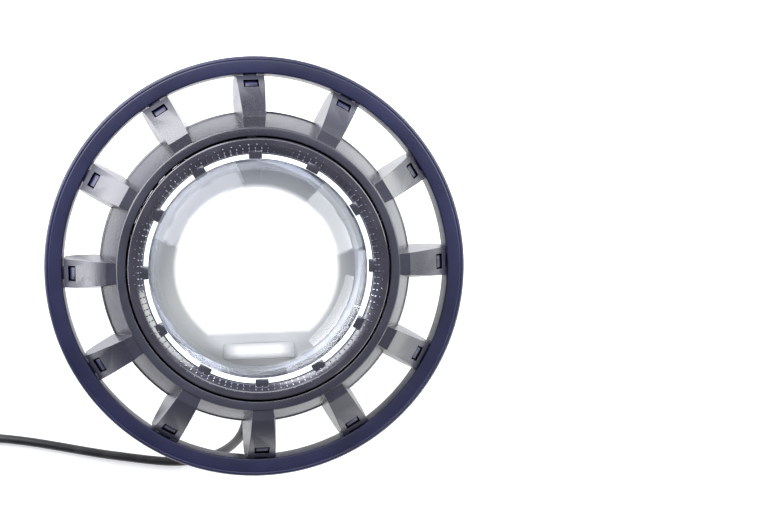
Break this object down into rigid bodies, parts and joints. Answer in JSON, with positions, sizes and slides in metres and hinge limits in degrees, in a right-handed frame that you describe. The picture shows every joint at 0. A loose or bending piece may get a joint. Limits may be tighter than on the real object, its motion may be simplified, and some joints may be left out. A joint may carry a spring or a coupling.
{
  "type": "fog light",
  "caption": "Round projector fog light in a spoked clip-in bezel, tilting on a footed bracket, with a finned heat sink and a sealed pigtail lead.",
  "frame": {"origin": "on the lamp's axis, in the plane of the heat sink's fin tips, on which the part rests face up", "axes": "+Z along the optical axis, out of the lens; +Y is up when the lamp is fitted; +X to the right seen from the front"},
  "size_m": [0.2301, 0.1619, 0.091],
  "materials": {
    "satin_black_ring": "moulded, satin, fine texture",
    "satin_black_carrier": "moulded, satin",
    "housing_black": "moulded, fine texture",
    "gloss_black": "moulded, gloss, fluted",
    "clear_lens": "clear, polished",
    "bright_reflector": "vacuum-metallised",
    "cast_aluminium": "die-cast, shot-blasted",
    "zinc_steel": "zinc-plated",
    "contact_metal": "tinned",
    "natural_nylon": "moulded nylon",
    "black_nylon": "moulded nylon",
    "seal_rubber": "moulded silicone rubber",
    "cable_black": "extruded jacket, satin",
    "connector_black": "moulded, fine texture",
    "circuit_board": "white solder mask",
    "light_chips": "phosphor under clear silicone"
  },
  "bodies": {
    "lamp": {"lamp_housing": "housing_black", "lens_retaining_ring": "gloss_black", "projector_lens": "clear_lens", "reflector": "bright_reflector", "cutoff_shield": "bright_reflector", "heat_sink": "cast_aluminium", "pivot_pin_left": "zinc_steel", "pivot_pin_right": "zinc_steel", "heat_sink_screw_1": "zinc_steel", "heat_sink_screw_2": "zinc_steel", "heat_sink_screw_3": "zinc_steel", "heat_sink_screw_4": "zinc_steel", "board_screw_1": "zinc_steel", "board_screw_2": "zinc_steel", "connector_pin_1": "contact_metal", "connector_pin_2": "contact_metal", "aim_nut": "natural_nylon", "coil_tie": "black_nylon", "lens_gasket": "seal_rubber", "housing_seal": "seal_rubber", "heat_pad": "seal_rubber", "vent_cap": "seal_rubber", "cable_gland": "seal_rubber", "connector_seal": "seal_rubber", "cable": "cable_black", "cable_coil": "cable_black", "cable_tail": "cable_black", "connector_body": "connector_black", "light_board": "circuit_board", "driver_board": "circuit_board", "light_chips": "light_chips"},
    "bezel": {"outer_ring": "satin_black_ring", "spoke_carrier": "satin_black_carrier", "mounting_bracket": "satin_black_carrier", "foot_sleeve_1": "zinc_steel", "foot_sleeve_2": "zinc_steel", "foot_sleeve_3": "zinc_steel", "foot_sleeve_4": "zinc_steel", "carrier_screw_1": "zinc_steel", "carrier_screw_2": "zinc_steel", "carrier_screw_3": "zinc_steel", "carrier_screw_4": "zinc_steel", "pivot_bush_left": "natural_nylon", "pivot_bush_right": "natural_nylon"},
    "aim_screw": {"aim_screw": "zinc_steel", "aim_screw_clip": "zinc_steel", "aim_wheel": "natural_nylon"},
    "latch": {"connector_latch": "connector_black"}
  },
  "joints": [
    {"name": "vertical_aim", "type": "hinge", "parent": "lamp", "child": "bezel", "pos_m": [0, 0, 0.067], "axis": [1, 0, 0], "range_deg": [-3, 3]},
    {"name": "aim_screw_turn", "type": "hinge", "parent": "bezel", "child": "aim_screw", "pos_m": [0, 0.0515, 0.045], "axis": [0, 0, 1], "range_deg": [-270, 270]},
    {"name": "latch_press", "type": "hinge", "parent": "lamp", "child": "latch", "pos_m": [-0.1426, -0.009, 0.0134], "axis": [1, 0, 0], "range_deg": [0, 8], "stiffness_Nm_per_rad": 0.05, "springref_deg": -5.73}
  ],
  "couplings": [
    {"joint": "aim_screw_turn", "follows": "vertical_aim", "ratio": 90}
  ]
}
